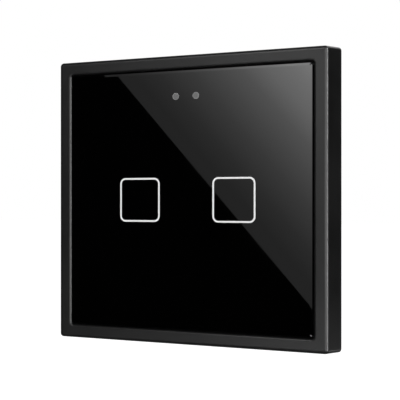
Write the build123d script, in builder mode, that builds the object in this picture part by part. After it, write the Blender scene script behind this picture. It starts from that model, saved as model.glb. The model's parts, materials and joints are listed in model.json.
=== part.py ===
from build123d import *
import os
from math import cos, radians, sin

# A two-gang touch switch for a flush wall box, in millimetres.
# The wall is the plane y = 0, the room is on its -Y side and +Z is up.
# A level is a height above the wall: positive towards the room, negative inside the wall box.

# Frame seen from the room
plate_side = 86.0
plate_draft = 1.25
plate_depth = 11.5
plate_sides = 4
plate_corner = 1.1
plate_front_fillet = 1.05
plate_back_fillet = 0.3
frame_face = 3.9
opening_corner = 0.9
opening_fillet = 0.7
ledge_width = 3.0
ledge_thickness = 1.5
frame_wall = 2.3
cavity_corner = 1.0

# Glass panel with its key outlines and indicator holes
glass_gap = 0.48
glass_recess = 0.35
glass_thickness = 3.0
glass_corner = 0.75
glass_arris = 0.25
glass_bevel_width = 0.6
glass_bevel_drop = 0.06
key_spacing = 29.4
key_side = 12.4
key_line = 0.5
key_corner = 1.5
key_print_depth = 0.12
indicator_spacing = 6.3
indicator_inset = 7.4
pipe_radius = 1.0
pipe_clearance = 0.06
pipe_shoulder_radius = 1.35

# Layers behind the glass
tape_thickness = 0.25
tape_width = 2.6
film_thickness = 0.2
film_gap = 0.2
electrode_side = 14.5
electrode_thickness = 0.1
touch_board_margin = 1.0
touch_board_thickness = 1.2
touch_board_corner = 1.0
led_size = (3.2, 1.6)
led_height = 1.0
led_gap = 0.1
small_part_size = (1.6, 0.8)
small_part_height = 0.7
small_part_pitch = (4.0, 5.0)
small_part_columns = 4
small_part_rows = 2
small_part_centre = (-18.0, -20.0)
touch_chip_size = (4.4, 5.0)
touch_chip_height = 1.2
touch_chip_centre = (14.0, -18.0)
lead_pitch = 0.65
lead_width = 0.3
lead_thickness = 0.2
lead_reach = 0.9

# Tray that closes the frame from behind
carrier_gap = 0.7
carrier_corner = 1.5
carrier_wall = 1.2
carrier_lip = 1.4
carrier_screw_inset = 2.1
carrier_screw_length = 4.6
carrier_screw_radius = 0.9
carrier_screw_clearance = 0.05
carrier_screw_head_radius = 1.5
carrier_screw_head_height = 1.1
screw_slot_width = 0.5
screw_slot_depth = 0.5
carrier_to_module = 0.5
head_window = (9.6, 11.0)

# Steel yoke on the wall
yoke_gap = 0.4
yoke_thickness = 1.0
yoke_corner = 2.0
yoke_bend = 0.6
yoke_flange_inset = 10.3
yoke_flange_height = 4.4
wall_screw_spacing = 60.3
wall_slot_length = 7.0
wall_slot_width = 4.2

# Leaf springs that hold the frame
spring_thickness = 0.4
spring_width = 8.0
spring_foot = 3.6
spring_bend = 0.4
spring_nose_height = 3.0
spring_nose_rise = 1.1
spring_nose_flat = 0.6
spring_nose_gap = 0.25
spring_tail = 0.35
spring_side_gap = 0.5
pocket_depth = 0.6

# Box inside the wall
box_depth = 27.0
box_wall = 1.6
box_corner = 2.5
box_edge = 0.8
box_fit = 0.3
flange_overhang = (2.0, 5.0)
flange_thickness = 1.2
flange_corner = 3.0
shoulder_width = 1.1
post_side = 3.4
hook_width = 6.0
hook_length = 2.6
hook_thickness = 1.25
hook_nose = 0.4
hook_nose_length = 1.0
module_screw_inset = 5.0
module_screw_margin = 2.6
module_screw_radius = 1.25
module_screw_head_radius = 2.3
module_screw_length = 3.4
module_screw_clearance = 0.05
vent_size = (1.4, 10.0)
vent_depth = 13.5
vent_pitch = 4.0
vent_count = 6

# Boards and their connector
power_board_depth = 2.0
power_board_thickness = 1.6
board_fit = 0.2
pin_pitch = 2.54
pin_count = 6
pin_side = 0.64
pin_clearance = 0.16
pin_length = 7.0
header_width = 2.5
header_height = 2.5
socket_height = 5.0
connector_drop = 2.0
connector_window_gap = 0.8

# Terminal block with four rising clamps
pole_pitch = 7.4
pole_count = 4
block_width = 30.4
block_height = 13.0
block_depth = 16.0
block_fit = 0.1
block_floor = 2.4
block_roof = 1.5
cavity_width = 5.8
cavity_reach = 13.05
wire_radius = 1.75
wire_chamfer = 0.4
bar_width = 3.4
bar_thickness = 0.8
bar_from_back = 9.2
bar_tail_proud = 0.8
cage_width = 5.4
cage_length = 5.0
cage_wall = 0.8
cage_floor = 1.1
cage_roof = 2.4
cage_opening = 4.8
cage_rest_gap = 0.4
clamp_screw_radius = 1.45
clamp_thread_clearance = 0.05
clamp_screw_tip_gap = 0.05
clamp_screw_head_radius = 2.3
clamp_screw_head_height = 1.8
clamp_screw_slot_width = 0.8
clamp_screw_slot_depth = 0.9
clamp_head_clearance = 0.2
clamp_head_gap = 0.15
clamp_chamfer = 0.2

# Relays
relay_length = 19.0
relay_width = 15.4
relay_height = 15.3
relay_wall = 0.8
relay_gap = 0.8
relay_side_gap = 2.0
relay_top_gap = 3.7
relay_fit = 0.1
relay_base_thickness = 1.4
relay_corner = 0.8
iron_thickness = 1.2
iron_width = 9.0
core_radius = 1.9
coil_centre = 1.0
coil_radius = 4.4
coil_flange_radius = 5.0
coil_flange_thickness = 0.7
coil_height = 7.8
coil_bore_clearance = 0.05
pole_radius = 3.6
pole_thickness = 0.8
armature_gap = 0.05
armature_angle = 4.0
armature_overhang = 1.2
armature_tail = 0.35
armature_width = 8.4
hinge_inset = 1.8
blade_thickness = 0.2
blade_width = 3.2
blade_start = 1.5
contact_radius = 1.0
contact_height = 0.6
contact_post_inset = 1.5
contact_reach = 1.0
contact_post_thickness = 0.6
contact_post_width = 3.0
leg_side = 0.9
leg_proud = 0.8
leg_hole_radius = 0.85
leg_slot_gap = 0.1

# Power supply parts on the back of the power board, in the strip between relays and terminals
supply_strip = 18.3
transformer_core_size = (13.0, 5.0)
transformer_core_height = 11.0
transformer_leg = 3.2
transformer_yoke = 2.0
transformer_side_leg = 2.2
bobbin_base_size = (12.0, 12.0)
bobbin_base_thickness = 1.4
bobbin_depth = 10.0
bobbin_clearance = 0.2
film_capacitor_size = (13.0, 6.0)
film_capacitor_height = 11.0
film_capacitor_corner = 0.8
can_radii = (3.0, 4.0)
can_heights = (9.0, 11.5)
can_groove_level = 1.6
can_groove_height = 0.8
can_groove_depth = 0.35
can_fillet = 0.5
varistor_radius = 3.6
varistor_thickness = 3.2
varistor_fillet = 0.8
fuse_radius = 1.3
fuse_length = 6.5
fuse_cap_radius = 1.5
fuse_cap_length = 1.1
bridge_size = (3.8, 4.7)
bridge_height = 2.3
bridge_lead_pitch = 2.54
supply_chip_size = (3.9, 4.9)
supply_chip_height = 1.5
supply_lead_pitch = 1.27

# Heights of the supply parts, as shares of the strip, and of the small ones, of the terminal block
transformer_share = 0.465
film_capacitor_share = 0.3
can_shares = (0.787, 0.63)
varistor_share = 0.76
small_supply_share = 0.46
small_supply_shares = (-0.28, 0, 0.23)

# Cuts that leave through an edge run past it by this much
overrun = 1.0

# Angles in degrees
full_turn = 360
quarter_turn = 90
countersink_angle = 90

# Outlines that follow from the plate
plate_front_side = plate_side - 2 * plate_draft
opening_side = plate_front_side - 2 * frame_face
cavity_side = plate_side - 2 * frame_wall
carrier_side = cavity_side - 2 * carrier_gap
carrier_screw_spacing = cavity_side - 2 * carrier_screw_inset
yoke_side = cavity_side - 2 * yoke_gap
yoke_flange_length = yoke_side - 2 * yoke_flange_inset

# Outlines that follow from what the box holds
inner_width = 2 * relay_length + relay_gap + 2 * relay_side_gap
box_width = inner_width + 2 * box_wall
box_height = block_height + supply_strip + relay_width + relay_top_gap + box_wall
inner_height = box_height - 2 * box_wall
flange_width = box_width + 2 * flange_overhang[0]
flange_height = box_height + 2 * flange_overhang[1]
module_screw_spacing = (box_width - 2 * module_screw_inset, box_height + 2 * module_screw_margin)

# Levels of the pulled-off part, from the front to the back
glass_front = plate_depth - glass_recess
glass_back = glass_front - glass_thickness
ledge_front = glass_back - tape_thickness
ledge_back = ledge_front - ledge_thickness
film_back = glass_back - film_thickness
touch_board_front = film_back - electrode_thickness
touch_board_back = touch_board_front - touch_board_thickness
module_front = yoke_thickness + flange_thickness
carrier_back = module_front + carrier_to_module
tray_floor = carrier_back + carrier_wall
head_seat = ledge_back - carrier_wall
opening_reach = plate_depth - ledge_front
notch_level = spring_nose_height - spring_nose_rise - spring_bend

# Levels inside the box, from the front to the back
box_floor = box_wall - box_depth
power_board_level = -power_board_depth
pin_tip_level = power_board_level + pin_length
bar_level = bar_from_back - box_depth
power_board_back = power_board_level - power_board_thickness
relay_base_back = power_board_back - relay_base_thickness
relay_foot_back = relay_base_back - iron_thickness
coil_back = relay_foot_back - coil_height
pole_level = coil_back - pole_thickness
armature_level = pole_level - armature_gap
bar_back = bar_level - bar_thickness
cage_roof_level = bar_back - cage_rest_gap
screw_tip_level = bar_back - clamp_screw_tip_gap
block_front = block_depth - box_depth
screw_head_level = block_front - cavity_reach - clamp_head_gap
core_front = power_board_back - bobbin_base_thickness - bobbin_clearance

# Places along the wall
glass_side = opening_side - 2 * glass_gap
indicator_height = glass_side / 2 - indicator_inset
ledge_side = opening_side - 2 * ledge_width
touch_board_side = ledge_side - 2 * touch_board_margin
tape_outer = glass_side - 2 * glass_arris
tape_inner = glass_side - 2 * tape_width
film_side = ledge_side - 2 * film_gap
tray_side = touch_board_side - 2 * carrier_lip
tray_inner = tray_side - 2 * carrier_wall
spring_pocket_height = 2 * spring_nose_rise + spring_bend
leg_line = yoke_side / 2 - yoke_thickness - spring_nose_gap / 2
nose_line = cavity_side / 2 + pocket_depth - spring_nose_gap
key_places = ((-key_spacing / 2, 0), (key_spacing / 2, 0))
indicator_places = (
    (-indicator_spacing / 2, indicator_height),
    (indicator_spacing / 2, indicator_height),
)
sides = ("left", "right")
pole_places = [(i - (pole_count - 1) / 2) * pole_pitch for i in range(pole_count)]
block_z = -(box_height - block_height) / 2
cavity_low = -box_height / 2 + block_floor
cavity_high = -box_height / 2 + block_height - block_roof
cage_z = cavity_low + clamp_head_gap + cage_length / 2
wire_level = bar_level + (cage_opening - cage_rest_gap - bar_thickness) / 2
relay_places = (-(relay_length + relay_gap) / 2, (relay_length + relay_gap) / 2)
relay_z = inner_height / 2 - relay_top_gap - relay_width / 2
hinge_offset = relay_length / 2 - hinge_inset
contact_post_offset = contact_post_inset - relay_length / 2
contact_offset = contact_post_offset + contact_reach
armature_reach = hinge_offset - coil_centre + pole_radius + armature_overhang
blade_reach = hinge_offset - contact_post_offset
strip_low = block_height - box_height / 2

# The varistor, the two cans and the transformer stand in a row with even gaps
row_widths = (2 * varistor_radius, 2 * can_radii[0], 2 * can_radii[1], transformer_core_size[0])
row_shares = (varistor_share, *can_shares, transformer_share)
row_gap = (inner_width - sum(row_widths)) / (len(row_widths) + 1)
row_ends = [sum(row_widths[: i + 1]) + (i + 1) * row_gap - inner_width / 2 for i in range(len(row_widths))]
row_places = [
    (end - width / 2, strip_low + share * supply_strip)
    for end, width, share in zip(row_ends, row_widths, row_shares)
]
varistor_centre, *can_centres, transformer_centre = row_places
film_capacitor_centre = (
    row_gap + (film_capacitor_size[0] - inner_width) / 2,
    strip_low + film_capacitor_share * supply_strip,
)
small_supply_z = small_supply_share * block_height - box_height / 2
small_supply_places = [(share * inner_width, small_supply_z) for share in small_supply_shares]
fuse_centre, bridge_centre, supply_chip_centre = small_supply_places
header_length = pin_count * pin_pitch
connector_window = (header_length + 2 * connector_window_gap, header_width + 2 * connector_window_gap)
rebate = (inner_width + 2 * shoulder_width, inner_height + 2 * shoulder_width)
countersink = module_screw_head_radius - module_screw_radius
board_size = (inner_width - 2 * board_fit, inner_height - 2 * board_fit)
post_spacing = (inner_width - post_side, inner_height - post_side)
window_width = (transformer_core_size[0] - transformer_leg) / 2 - transformer_side_leg
window_offset = (transformer_leg + window_width) / 2
window_height = transformer_core_height - 2 * transformer_yoke


def level(height):
    """The plane parallel to the wall at this height, seen from the room."""
    return Plane.XZ.offset(height)


def radial_plane(turn):
    """A section across one side of the plate: first axis outwards, second towards the room."""
    angle = radians(turn)
    return Plane(origin=(0, 0, 0), x_dir=(cos(angle), 0, sin(angle)), z_dir=(sin(angle), 0, -cos(angle)))


def slab(height, centre, size, thickness, corner=0, mode=Mode.ADD):
    """A flat slab on one level; a positive thickness grows towards the room."""
    with BuildSketch(level(height)) as outline:
        with Locations(centre):
            if corner:
                RectangleRounded(*size, corner)
            else:
                Rectangle(*size)
    extrude(outline.sketch, amount=thickness, mode=mode)


def rod(height, centre, radius, length, mode=Mode.ADD):
    """A round bar square to the wall; a positive length grows towards the room."""
    with BuildSketch(level(height)) as outline:
        with Locations(centre):
            Circle(radius)
    extrude(outline.sketch, amount=length, mode=mode)


def screw_slot(height, centre, radius, width, depth):
    """The driver slot in a screw head whose face is on this level and looks out of the material."""
    slab(height, centre, (2 * radius + overrun, width), depth, mode=Mode.SUBTRACT)


def chip(height, centre, size, thickness, leads_per_side, pitch):
    """A moulded chip hanging from a board face, with straight leads along its two long sides."""
    slab(height, centre, size, -thickness)
    with BuildSketch(level(height)) as leads:
        with Locations(centre):
            with GridLocations(size[0] + lead_reach, pitch, 2, leads_per_side):
                Rectangle(lead_reach + lead_width, lead_width)
    extrude(leads.sketch, amount=-lead_thickness)


os.makedirs("parts", exist_ok=True)

# Outer frame: drafted sides, rounded corners, a ledge for the glass and a hollow back
with BuildPart() as outer_frame:
    with BuildSketch(level(0)):
        Rectangle(plate_side, plate_side)
    with BuildSketch(level(plate_depth)):
        Rectangle(plate_front_side, plate_front_side)
    loft(ruled=True)
    corner_edges = outer_frame.edges().filter_by(
        lambda edge: edge.bounding_box().size.Y > plate_depth / 2
    )
    fillet(corner_edges, plate_corner)
    fillet(outer_frame.faces().sort_by(Axis.Y)[0].edges(), plate_front_fillet)
    fillet(outer_frame.faces().sort_by(Axis.Y)[-1].edges(), plate_back_fillet)
    slab(ledge_front, (0, 0), (opening_side, opening_side), opening_reach, opening_corner, Mode.SUBTRACT)
    fillet(outer_frame.faces().sort_by(Axis.Y)[0].inner_wires()[0].edges(), opening_fillet)
    slab(0, (0, 0), (ledge_side, ledge_side), ledge_front, opening_corner, Mode.SUBTRACT)
    slab(0, (0, 0), (cavity_side, cavity_side), ledge_back, cavity_corner, Mode.SUBTRACT)
    with BuildSketch(level(spring_nose_height - spring_pocket_height / 2)):
        with PolarLocations(cavity_side / 2, plate_sides):
            Rectangle(2 * pocket_depth, spring_width + 2 * spring_side_gap)
    extrude(amount=spring_pocket_height, mode=Mode.SUBTRACT)
    with BuildSketch(level(ledge_back)):
        with GridLocations(carrier_screw_spacing, carrier_screw_spacing, 2, 2):
            Circle(carrier_screw_radius)
    extrude(amount=carrier_screw_length - carrier_wall, mode=Mode.SUBTRACT)
outer_frame.part.label = "outer_frame"
export_step(outer_frame.part, "parts/outer_frame.step")

# Glass panel: ground edges, shallow engraved lines for the key outlines, two indicator holes
with BuildPart() as glass_panel:
    with BuildSketch(level(glass_back)):
        RectangleRounded(glass_side, glass_side, glass_corner)
    extrude(amount=glass_thickness)
    glass_face = glass_panel.faces().sort_by(Axis.Y)[0]
    chamfer(glass_face.edges(), glass_bevel_width, glass_bevel_drop, reference=glass_face)
    chamfer(glass_panel.faces().sort_by(Axis.Y)[-1].edges(), glass_arris)
    with BuildSketch(level(glass_front)):
        with Locations(*key_places):
            RectangleRounded(key_side + key_line, key_side + key_line, key_corner + key_line / 2)
            RectangleRounded(
                key_side - key_line, key_side - key_line, key_corner - key_line / 2, mode=Mode.SUBTRACT
            )
    extrude(amount=-key_print_depth, mode=Mode.SUBTRACT)
    with BuildSketch(level(glass_back)):
        with Locations(*indicator_places):
            Circle(pipe_radius + pipe_clearance)
    extrude(amount=glass_thickness, mode=Mode.SUBTRACT)
glass_panel.part.label = "glass_panel"
export_step(glass_panel.part, "parts/glass_panel.step")

# Key outlines: white lines that fill the engraving flush with the glass
for side, place in zip(sides, key_places):
    with BuildPart() as key_outline:
        with BuildSketch(level(glass_front - key_print_depth)):
            with Locations(place):
                RectangleRounded(key_side + key_line, key_side + key_line, key_corner + key_line / 2)
                RectangleRounded(
                    key_side - key_line, key_side - key_line, key_corner - key_line / 2, mode=Mode.SUBTRACT
                )
        extrude(amount=key_print_depth)
    key_outline.part.label = f"key_outline_{side}"
    export_step(key_outline.part, f"parts/key_outline_{side}.step")

# Adhesive ring between the glass and the ledge
with BuildPart() as glass_tape:
    slab(ledge_front, (0, 0), (tape_outer, tape_outer), tape_thickness, glass_corner)
    slab(ledge_front, (0, 0), (tape_inner, tape_inner), tape_thickness, glass_corner, Mode.SUBTRACT)
glass_tape.part.label = "glass_tape"
export_step(glass_tape.part, "parts/glass_tape.step")

# Black film on the back of the glass
with BuildPart() as light_mask_film:
    slab(film_back, (0, 0), (film_side, film_side), film_thickness, glass_corner)
    with BuildSketch(level(film_back)):
        with Locations(*indicator_places):
            Circle(pipe_radius + pipe_clearance)
    extrude(amount=film_thickness, mode=Mode.SUBTRACT)
light_mask_film.part.label = "light_mask_film"
export_step(light_mask_film.part, "parts/light_mask_film.step")

# Sensing plates behind the keys
with BuildPart() as touch_electrodes:
    with BuildSketch(level(touch_board_front)):
        with Locations(*key_places):
            RectangleRounded(electrode_side, electrode_side, key_corner)
    extrude(amount=electrode_thickness)
touch_electrodes.part.label = "touch_electrodes"
export_step(touch_electrodes.part, "parts/touch_electrodes.step")

# Touch circuit board
with BuildPart() as touch_board:
    slab(
        touch_board_back,
        (0, 0),
        (touch_board_side, touch_board_side),
        touch_board_thickness,
        touch_board_corner,
    )
    with BuildSketch(level(touch_board_back)):
        with Locations(*indicator_places):
            Circle(pipe_shoulder_radius + pipe_clearance)
    extrude(amount=touch_board_thickness, mode=Mode.SUBTRACT)
touch_board.part.label = "touch_board"
export_step(touch_board.part, "parts/touch_board.step")

# Indicator light pipes, and the lamps that shine into them
for side, place in zip(sides, indicator_places):
    with BuildPart() as indicator_light_pipe:
        rod(touch_board_back, place, pipe_shoulder_radius, film_back - touch_board_back)
        rod(film_back, place, pipe_radius, glass_front - film_back)
    indicator_light_pipe.part.label = f"indicator_light_pipe_{side}"
    export_step(indicator_light_pipe.part, f"parts/indicator_light_pipe_{side}.step")

with BuildPart() as indicator_leds:
    with BuildSketch(level(touch_board_back - led_gap)):
        with Locations(*indicator_places):
            Rectangle(*led_size)
    extrude(amount=-led_height)
indicator_leds.part.label = "indicator_leds"
export_step(indicator_leds.part, "parts/indicator_leds.step")

# Parts soldered to the back of the touch board
with BuildPart() as touch_controller_chip:
    leads_per_side = int(touch_chip_size[1] // lead_pitch)
    chip(
        touch_board_back,
        touch_chip_centre,
        touch_chip_size,
        touch_chip_height,
        leads_per_side,
        lead_pitch,
    )
touch_controller_chip.part.label = "touch_controller_chip"
export_step(touch_controller_chip.part, "parts/touch_controller_chip.step")

with BuildPart() as touch_board_parts:
    with BuildSketch(level(touch_board_back)):
        with Locations(small_part_centre):
            with GridLocations(*small_part_pitch, small_part_columns, small_part_rows):
                Rectangle(*small_part_size)
    extrude(amount=-small_part_height)
touch_board_parts.part.label = "touch_board_parts"
export_step(touch_board_parts.part, "parts/touch_board_parts.step")

# Connector: socket on the touch board, header with square pins on the power board
with BuildPart() as board_socket:
    slab(touch_board_back, (0, -connector_drop), (header_length, header_width), -socket_height)
    with BuildSketch(level(touch_board_back - socket_height)):
        with Locations((0, -connector_drop)):
            with GridLocations(pin_pitch, pin_pitch, pin_count, 1):
                Rectangle(pin_side + 2 * pin_clearance, pin_side + 2 * pin_clearance)
    socket_bore = pin_tip_level + pin_clearance - (touch_board_back - socket_height)
    extrude(amount=socket_bore, mode=Mode.SUBTRACT)
board_socket.part.label = "board_socket"
export_step(board_socket.part, "parts/board_socket.step")

with BuildPart() as board_header:
    slab(power_board_level, (0, -connector_drop), (header_length, header_width), header_height)
    with BuildSketch(level(power_board_level)):
        with Locations((0, -connector_drop)):
            with GridLocations(pin_pitch, pin_pitch, pin_count, 1):
                Rectangle(pin_side, pin_side)
    extrude(amount=header_height, mode=Mode.SUBTRACT)
board_header.part.label = "board_header"
export_step(board_header.part, "parts/board_header.step")

with BuildPart() as header_pins:
    with BuildSketch(level(power_board_level)):
        with Locations((0, -connector_drop)):
            with GridLocations(pin_pitch, pin_pitch, pin_count, 1):
                Rectangle(pin_side, pin_side)
    extrude(amount=pin_tip_level - power_board_level)
header_pins.part.label = "header_pins"
export_step(header_pins.part, "parts/header_pins.step")

# Tray behind the touch board: a rim screwed to the frame, a lip under the board, a floor with windows
with BuildPart() as panel_carrier:
    slab(head_seat, (0, 0), (carrier_side, carrier_side), carrier_wall, carrier_corner)
    slab(carrier_back, (0, 0), (tray_side, tray_side), touch_board_back - carrier_back, carrier_corner)
    slab(
        tray_floor,
        (0, 0),
        (tray_inner, tray_inner),
        touch_board_back - tray_floor,
        carrier_corner,
        Mode.SUBTRACT,
    )
    slab(carrier_back, (0, -connector_drop), connector_window, carrier_wall, mode=Mode.SUBTRACT)
    with BuildSketch(level(carrier_back)):
        with GridLocations(wall_screw_spacing, wall_screw_spacing, 2, 1):
            RectangleRounded(*head_window, carrier_corner)
    extrude(amount=touch_board_back - carrier_back, mode=Mode.SUBTRACT)
    with BuildSketch(level(head_seat)):
        with GridLocations(carrier_screw_spacing, carrier_screw_spacing, 2, 2):
            Circle(carrier_screw_radius + carrier_screw_clearance)
    extrude(amount=carrier_wall, mode=Mode.SUBTRACT)
panel_carrier.part.label = "panel_carrier"
export_step(panel_carrier.part, "parts/panel_carrier.step")

# Four screws that hold the tray on the frame
with BuildPart() as carrier_screws:
    with BuildSketch(level(head_seat)):
        with GridLocations(carrier_screw_spacing, carrier_screw_spacing, 2, 2):
            Circle(carrier_screw_head_radius)
    extrude(amount=-carrier_screw_head_height)
    with BuildSketch(level(head_seat)):
        with GridLocations(carrier_screw_spacing, carrier_screw_spacing, 2, 2):
            Circle(carrier_screw_radius)
    extrude(amount=carrier_screw_length - screw_slot_depth)
    with BuildSketch(level(head_seat - carrier_screw_head_height)):
        with GridLocations(carrier_screw_spacing, carrier_screw_spacing, 2, 2):
            Rectangle(2 * carrier_screw_head_radius, screw_slot_width)
            Rectangle(screw_slot_width, 2 * carrier_screw_head_radius)
    extrude(amount=screw_slot_depth, mode=Mode.SUBTRACT)
carrier_screws.part.label = "carrier_screws"
export_step(carrier_screws.part, "parts/carrier_screws.step")

# Steel yoke: plate with turned-up flanges, wall screw slots, a window for the box
with BuildPart() as mounting_yoke:
    slab(0, (0, 0), (yoke_side, yoke_side), yoke_thickness, yoke_corner)
    with BuildSketch(level(0)):
        with PolarLocations((yoke_side - yoke_thickness) / 2, plate_sides):
            Rectangle(yoke_thickness, yoke_flange_length)
    extrude(amount=yoke_flange_height)
    fillet(mounting_yoke.faces().sort_by(Axis.Y)[-1].edges(), yoke_bend)
    with BuildSketch(level(notch_level)):
        with PolarLocations((yoke_side - yoke_thickness) / 2, plate_sides):
            Rectangle(2 * yoke_thickness, spring_width + 2 * spring_side_gap)
    extrude(amount=yoke_flange_height - notch_level, mode=Mode.SUBTRACT)
    slab(
        0,
        (0, 0),
        (box_width + 2 * box_fit, box_height + 2 * box_fit),
        yoke_thickness,
        box_corner + box_fit,
        Mode.SUBTRACT,
    )
    with BuildSketch(level(0)):
        with GridLocations(wall_screw_spacing, wall_screw_spacing, 2, 1):
            SlotOverall(wall_slot_length, wall_slot_width)
        with GridLocations(*module_screw_spacing, 2, 2):
            Circle(module_screw_radius + module_screw_clearance)
    extrude(amount=yoke_thickness, mode=Mode.SUBTRACT)
mounting_yoke.part.label = "mounting_yoke"
export_step(mounting_yoke.part, "parts/mounting_yoke.step")

# Four leaf springs: foot on the yoke, leg inside the flange, nose through it into the frame's pocket
with BuildPart() as catch_springs:
    for number in range(plate_sides):
        with BuildSketch(radial_plane(number * full_turn / plate_sides)):
            with BuildLine():
                FilletPolyline(
                    (leg_line - spring_foot, yoke_thickness),
                    (leg_line, yoke_thickness),
                    (leg_line, spring_nose_height - spring_nose_rise),
                    (nose_line, spring_nose_height - spring_nose_flat / 2),
                    (nose_line, spring_nose_height + spring_nose_flat / 2),
                    (leg_line, spring_nose_height + spring_nose_rise),
                    (leg_line - spring_tail, spring_nose_height + spring_nose_rise + spring_tail),
                    radius=spring_bend,
                )
                offset(amount=spring_thickness, side=Side.LEFT)
            make_face()
        extrude(amount=spring_width / 2, both=True)
catch_springs.part.label = "catch_springs"
export_step(catch_springs.part, "parts/catch_springs.step")

# Box inside the wall: flange on the yoke, open mouth, posts for the power board, vents on top
with BuildPart() as rear_box:
    slab(-box_depth, (0, 0), (box_width, box_height), box_depth + yoke_thickness, box_corner)
    fillet(rear_box.faces().sort_by(Axis.Y)[-1].edges(), box_edge)
    slab(yoke_thickness, (0, 0), (flange_width, flange_height), flange_thickness, flange_corner)
    slab(box_floor, (0, 0), (inner_width, inner_height), module_front - box_floor, mode=Mode.SUBTRACT)
    slab(yoke_thickness, (0, 0), rebate, flange_thickness, mode=Mode.SUBTRACT)
    with BuildSketch(level(box_floor)):
        with GridLocations(*post_spacing, 2, 2):
            Rectangle(post_side, post_side)
    extrude(amount=power_board_back - box_floor)
    # Opening for the terminal block, through the bottom and the back
    block_opening = (block_width + 2 * block_fit, block_height + block_fit + overrun)
    block_opening_z = -box_height / 2 + block_height + block_fit - block_opening[1] / 2
    slab(
        -box_depth - overrun,
        (0, block_opening_z),
        block_opening,
        block_depth + block_fit + overrun,
        mode=Mode.SUBTRACT,
    )
    # Pockets that take the hooks of the module cover
    slab(
        yoke_thickness - hook_length - block_fit,
        (0, 0),
        (inner_width + 2 * (hook_nose + board_fit), hook_width + 2 * board_fit),
        hook_nose_length + 2 * block_fit,
        mode=Mode.SUBTRACT,
    )
    with BuildSketch(Plane.XY.offset(box_height / 2 - box_wall)):
        with Locations((0, vent_depth)):
            with GridLocations(vent_pitch, vent_pitch, vent_count, 1):
                SlotOverall(vent_size[1], vent_size[0], rotation=quarter_turn)
    extrude(amount=box_wall, mode=Mode.SUBTRACT)
    with Locations(level(module_front)):
        with GridLocations(*module_screw_spacing, 2, 2):
            CounterSinkHole(
                module_screw_radius + module_screw_clearance,
                module_screw_head_radius + module_screw_clearance,
                counter_sink_angle=countersink_angle,
            )
rear_box.part.label = "rear_box"
export_step(rear_box.part, "parts/rear_box.step")

# Cover of the box: plate in the mouth, feet on the power board, hooks in the side walls
with BuildPart() as module_cover:
    cover_size = (rebate[0] - 2 * block_fit, rebate[1] - 2 * block_fit)
    slab(yoke_thickness, (0, 0), cover_size, flange_thickness)
    slab(yoke_thickness, (0, -connector_drop), connector_window, flange_thickness, mode=Mode.SUBTRACT)
    with BuildSketch(level(yoke_thickness)):
        with GridLocations(*post_spacing, 2, 2):
            Rectangle(post_side - 2 * board_fit, post_side - 2 * board_fit)
    extrude(amount=power_board_level - yoke_thickness)
    hook_line = inner_width / 2 - board_fit
    for sign in (-1, 1):
        hook_x = sign * (hook_line - hook_thickness / 2)
        slab(yoke_thickness, (hook_x, 0), (hook_thickness, hook_width), -hook_length)
        nose_x = sign * (hook_line + (hook_nose - hook_thickness) / 2)
        nose_size = (hook_thickness + hook_nose, hook_width)
        slab(yoke_thickness - hook_length, (nose_x, 0), nose_size, hook_nose_length)
module_cover.part.label = "module_cover"
export_step(module_cover.part, "parts/module_cover.step")

# Four countersunk screws that hold the box on the yoke
with BuildPart() as module_screws:
    with BuildSketch(level(module_front)):
        with GridLocations(*module_screw_spacing, 2, 2):
            Circle(module_screw_head_radius)
    extrude(amount=-countersink, taper=countersink_angle / 2)
    with BuildSketch(level(module_front - countersink)):
        with GridLocations(*module_screw_spacing, 2, 2):
            Circle(module_screw_radius)
    extrude(amount=countersink - module_screw_length)
    with BuildSketch(level(module_front)):
        with GridLocations(*module_screw_spacing, 2, 2):
            Rectangle(module_screw_head_radius, screw_slot_width)
            Rectangle(screw_slot_width, module_screw_head_radius)
    extrude(amount=-screw_slot_depth, mode=Mode.SUBTRACT)
module_screws.part.label = "module_screws"
export_step(module_screws.part, "parts/module_screws.step")

# Power board, with slots for the terminal bars and holes for the relay legs
with BuildPart() as power_board:
    slab(power_board_back, (0, 0), board_size, power_board_thickness)
    with BuildSketch(level(power_board_back)):
        with Locations((0, cavity_high - bar_thickness / 2)):
            with GridLocations(pole_pitch, pole_pitch, pole_count, 1):
                Rectangle(bar_width + 2 * board_fit, bar_thickness + 2 * board_fit)
        for relay_x in relay_places:
            with Locations(
                (relay_x + contact_post_offset, relay_z),
                (relay_x + hinge_offset, relay_z),
            ):
                Circle(leg_hole_radius)
    extrude(amount=power_board_thickness, mode=Mode.SUBTRACT)
power_board.part.label = "power_board"
export_step(power_board.part, "parts/power_board.step")

# Terminal block: four wells open to the board, screw holes at the back, wire holes below
with BuildPart() as terminal_block:
    slab(-box_depth, (0, block_z), (block_width, block_height), block_depth)
    well_z = (cavity_low + cavity_high) / 2
    with BuildSketch(level(block_front)):
        with Locations((0, well_z)):
            with GridLocations(pole_pitch, pole_pitch, pole_count, 1):
                Rectangle(cavity_width, cavity_high - cavity_low)
    extrude(amount=-cavity_reach, mode=Mode.SUBTRACT)
    with BuildSketch(level(-box_depth)):
        with Locations((0, cage_z)):
            with GridLocations(pole_pitch, pole_pitch, pole_count, 1):
                Circle(clamp_screw_head_radius + clamp_head_clearance)
    extrude(amount=block_depth - cavity_reach, mode=Mode.SUBTRACT)
    with BuildSketch(Plane.XY.offset(-box_height / 2)):
        with Locations((0, -wire_level)):
            with GridLocations(pole_pitch, pole_pitch, pole_count, 1):
                Circle(wire_radius)
    extrude(amount=block_floor, mode=Mode.SUBTRACT)
    wire_mouths = (
        terminal_block.faces()
        .sort_by(Axis.Z)[0]
        .edges()
        .filter_by(GeomType.CIRCLE)
    )
    chamfer(wire_mouths, wire_chamfer)
terminal_block.part.label = "terminal_block"
export_step(terminal_block.part, "parts/terminal_block.step")

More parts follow.
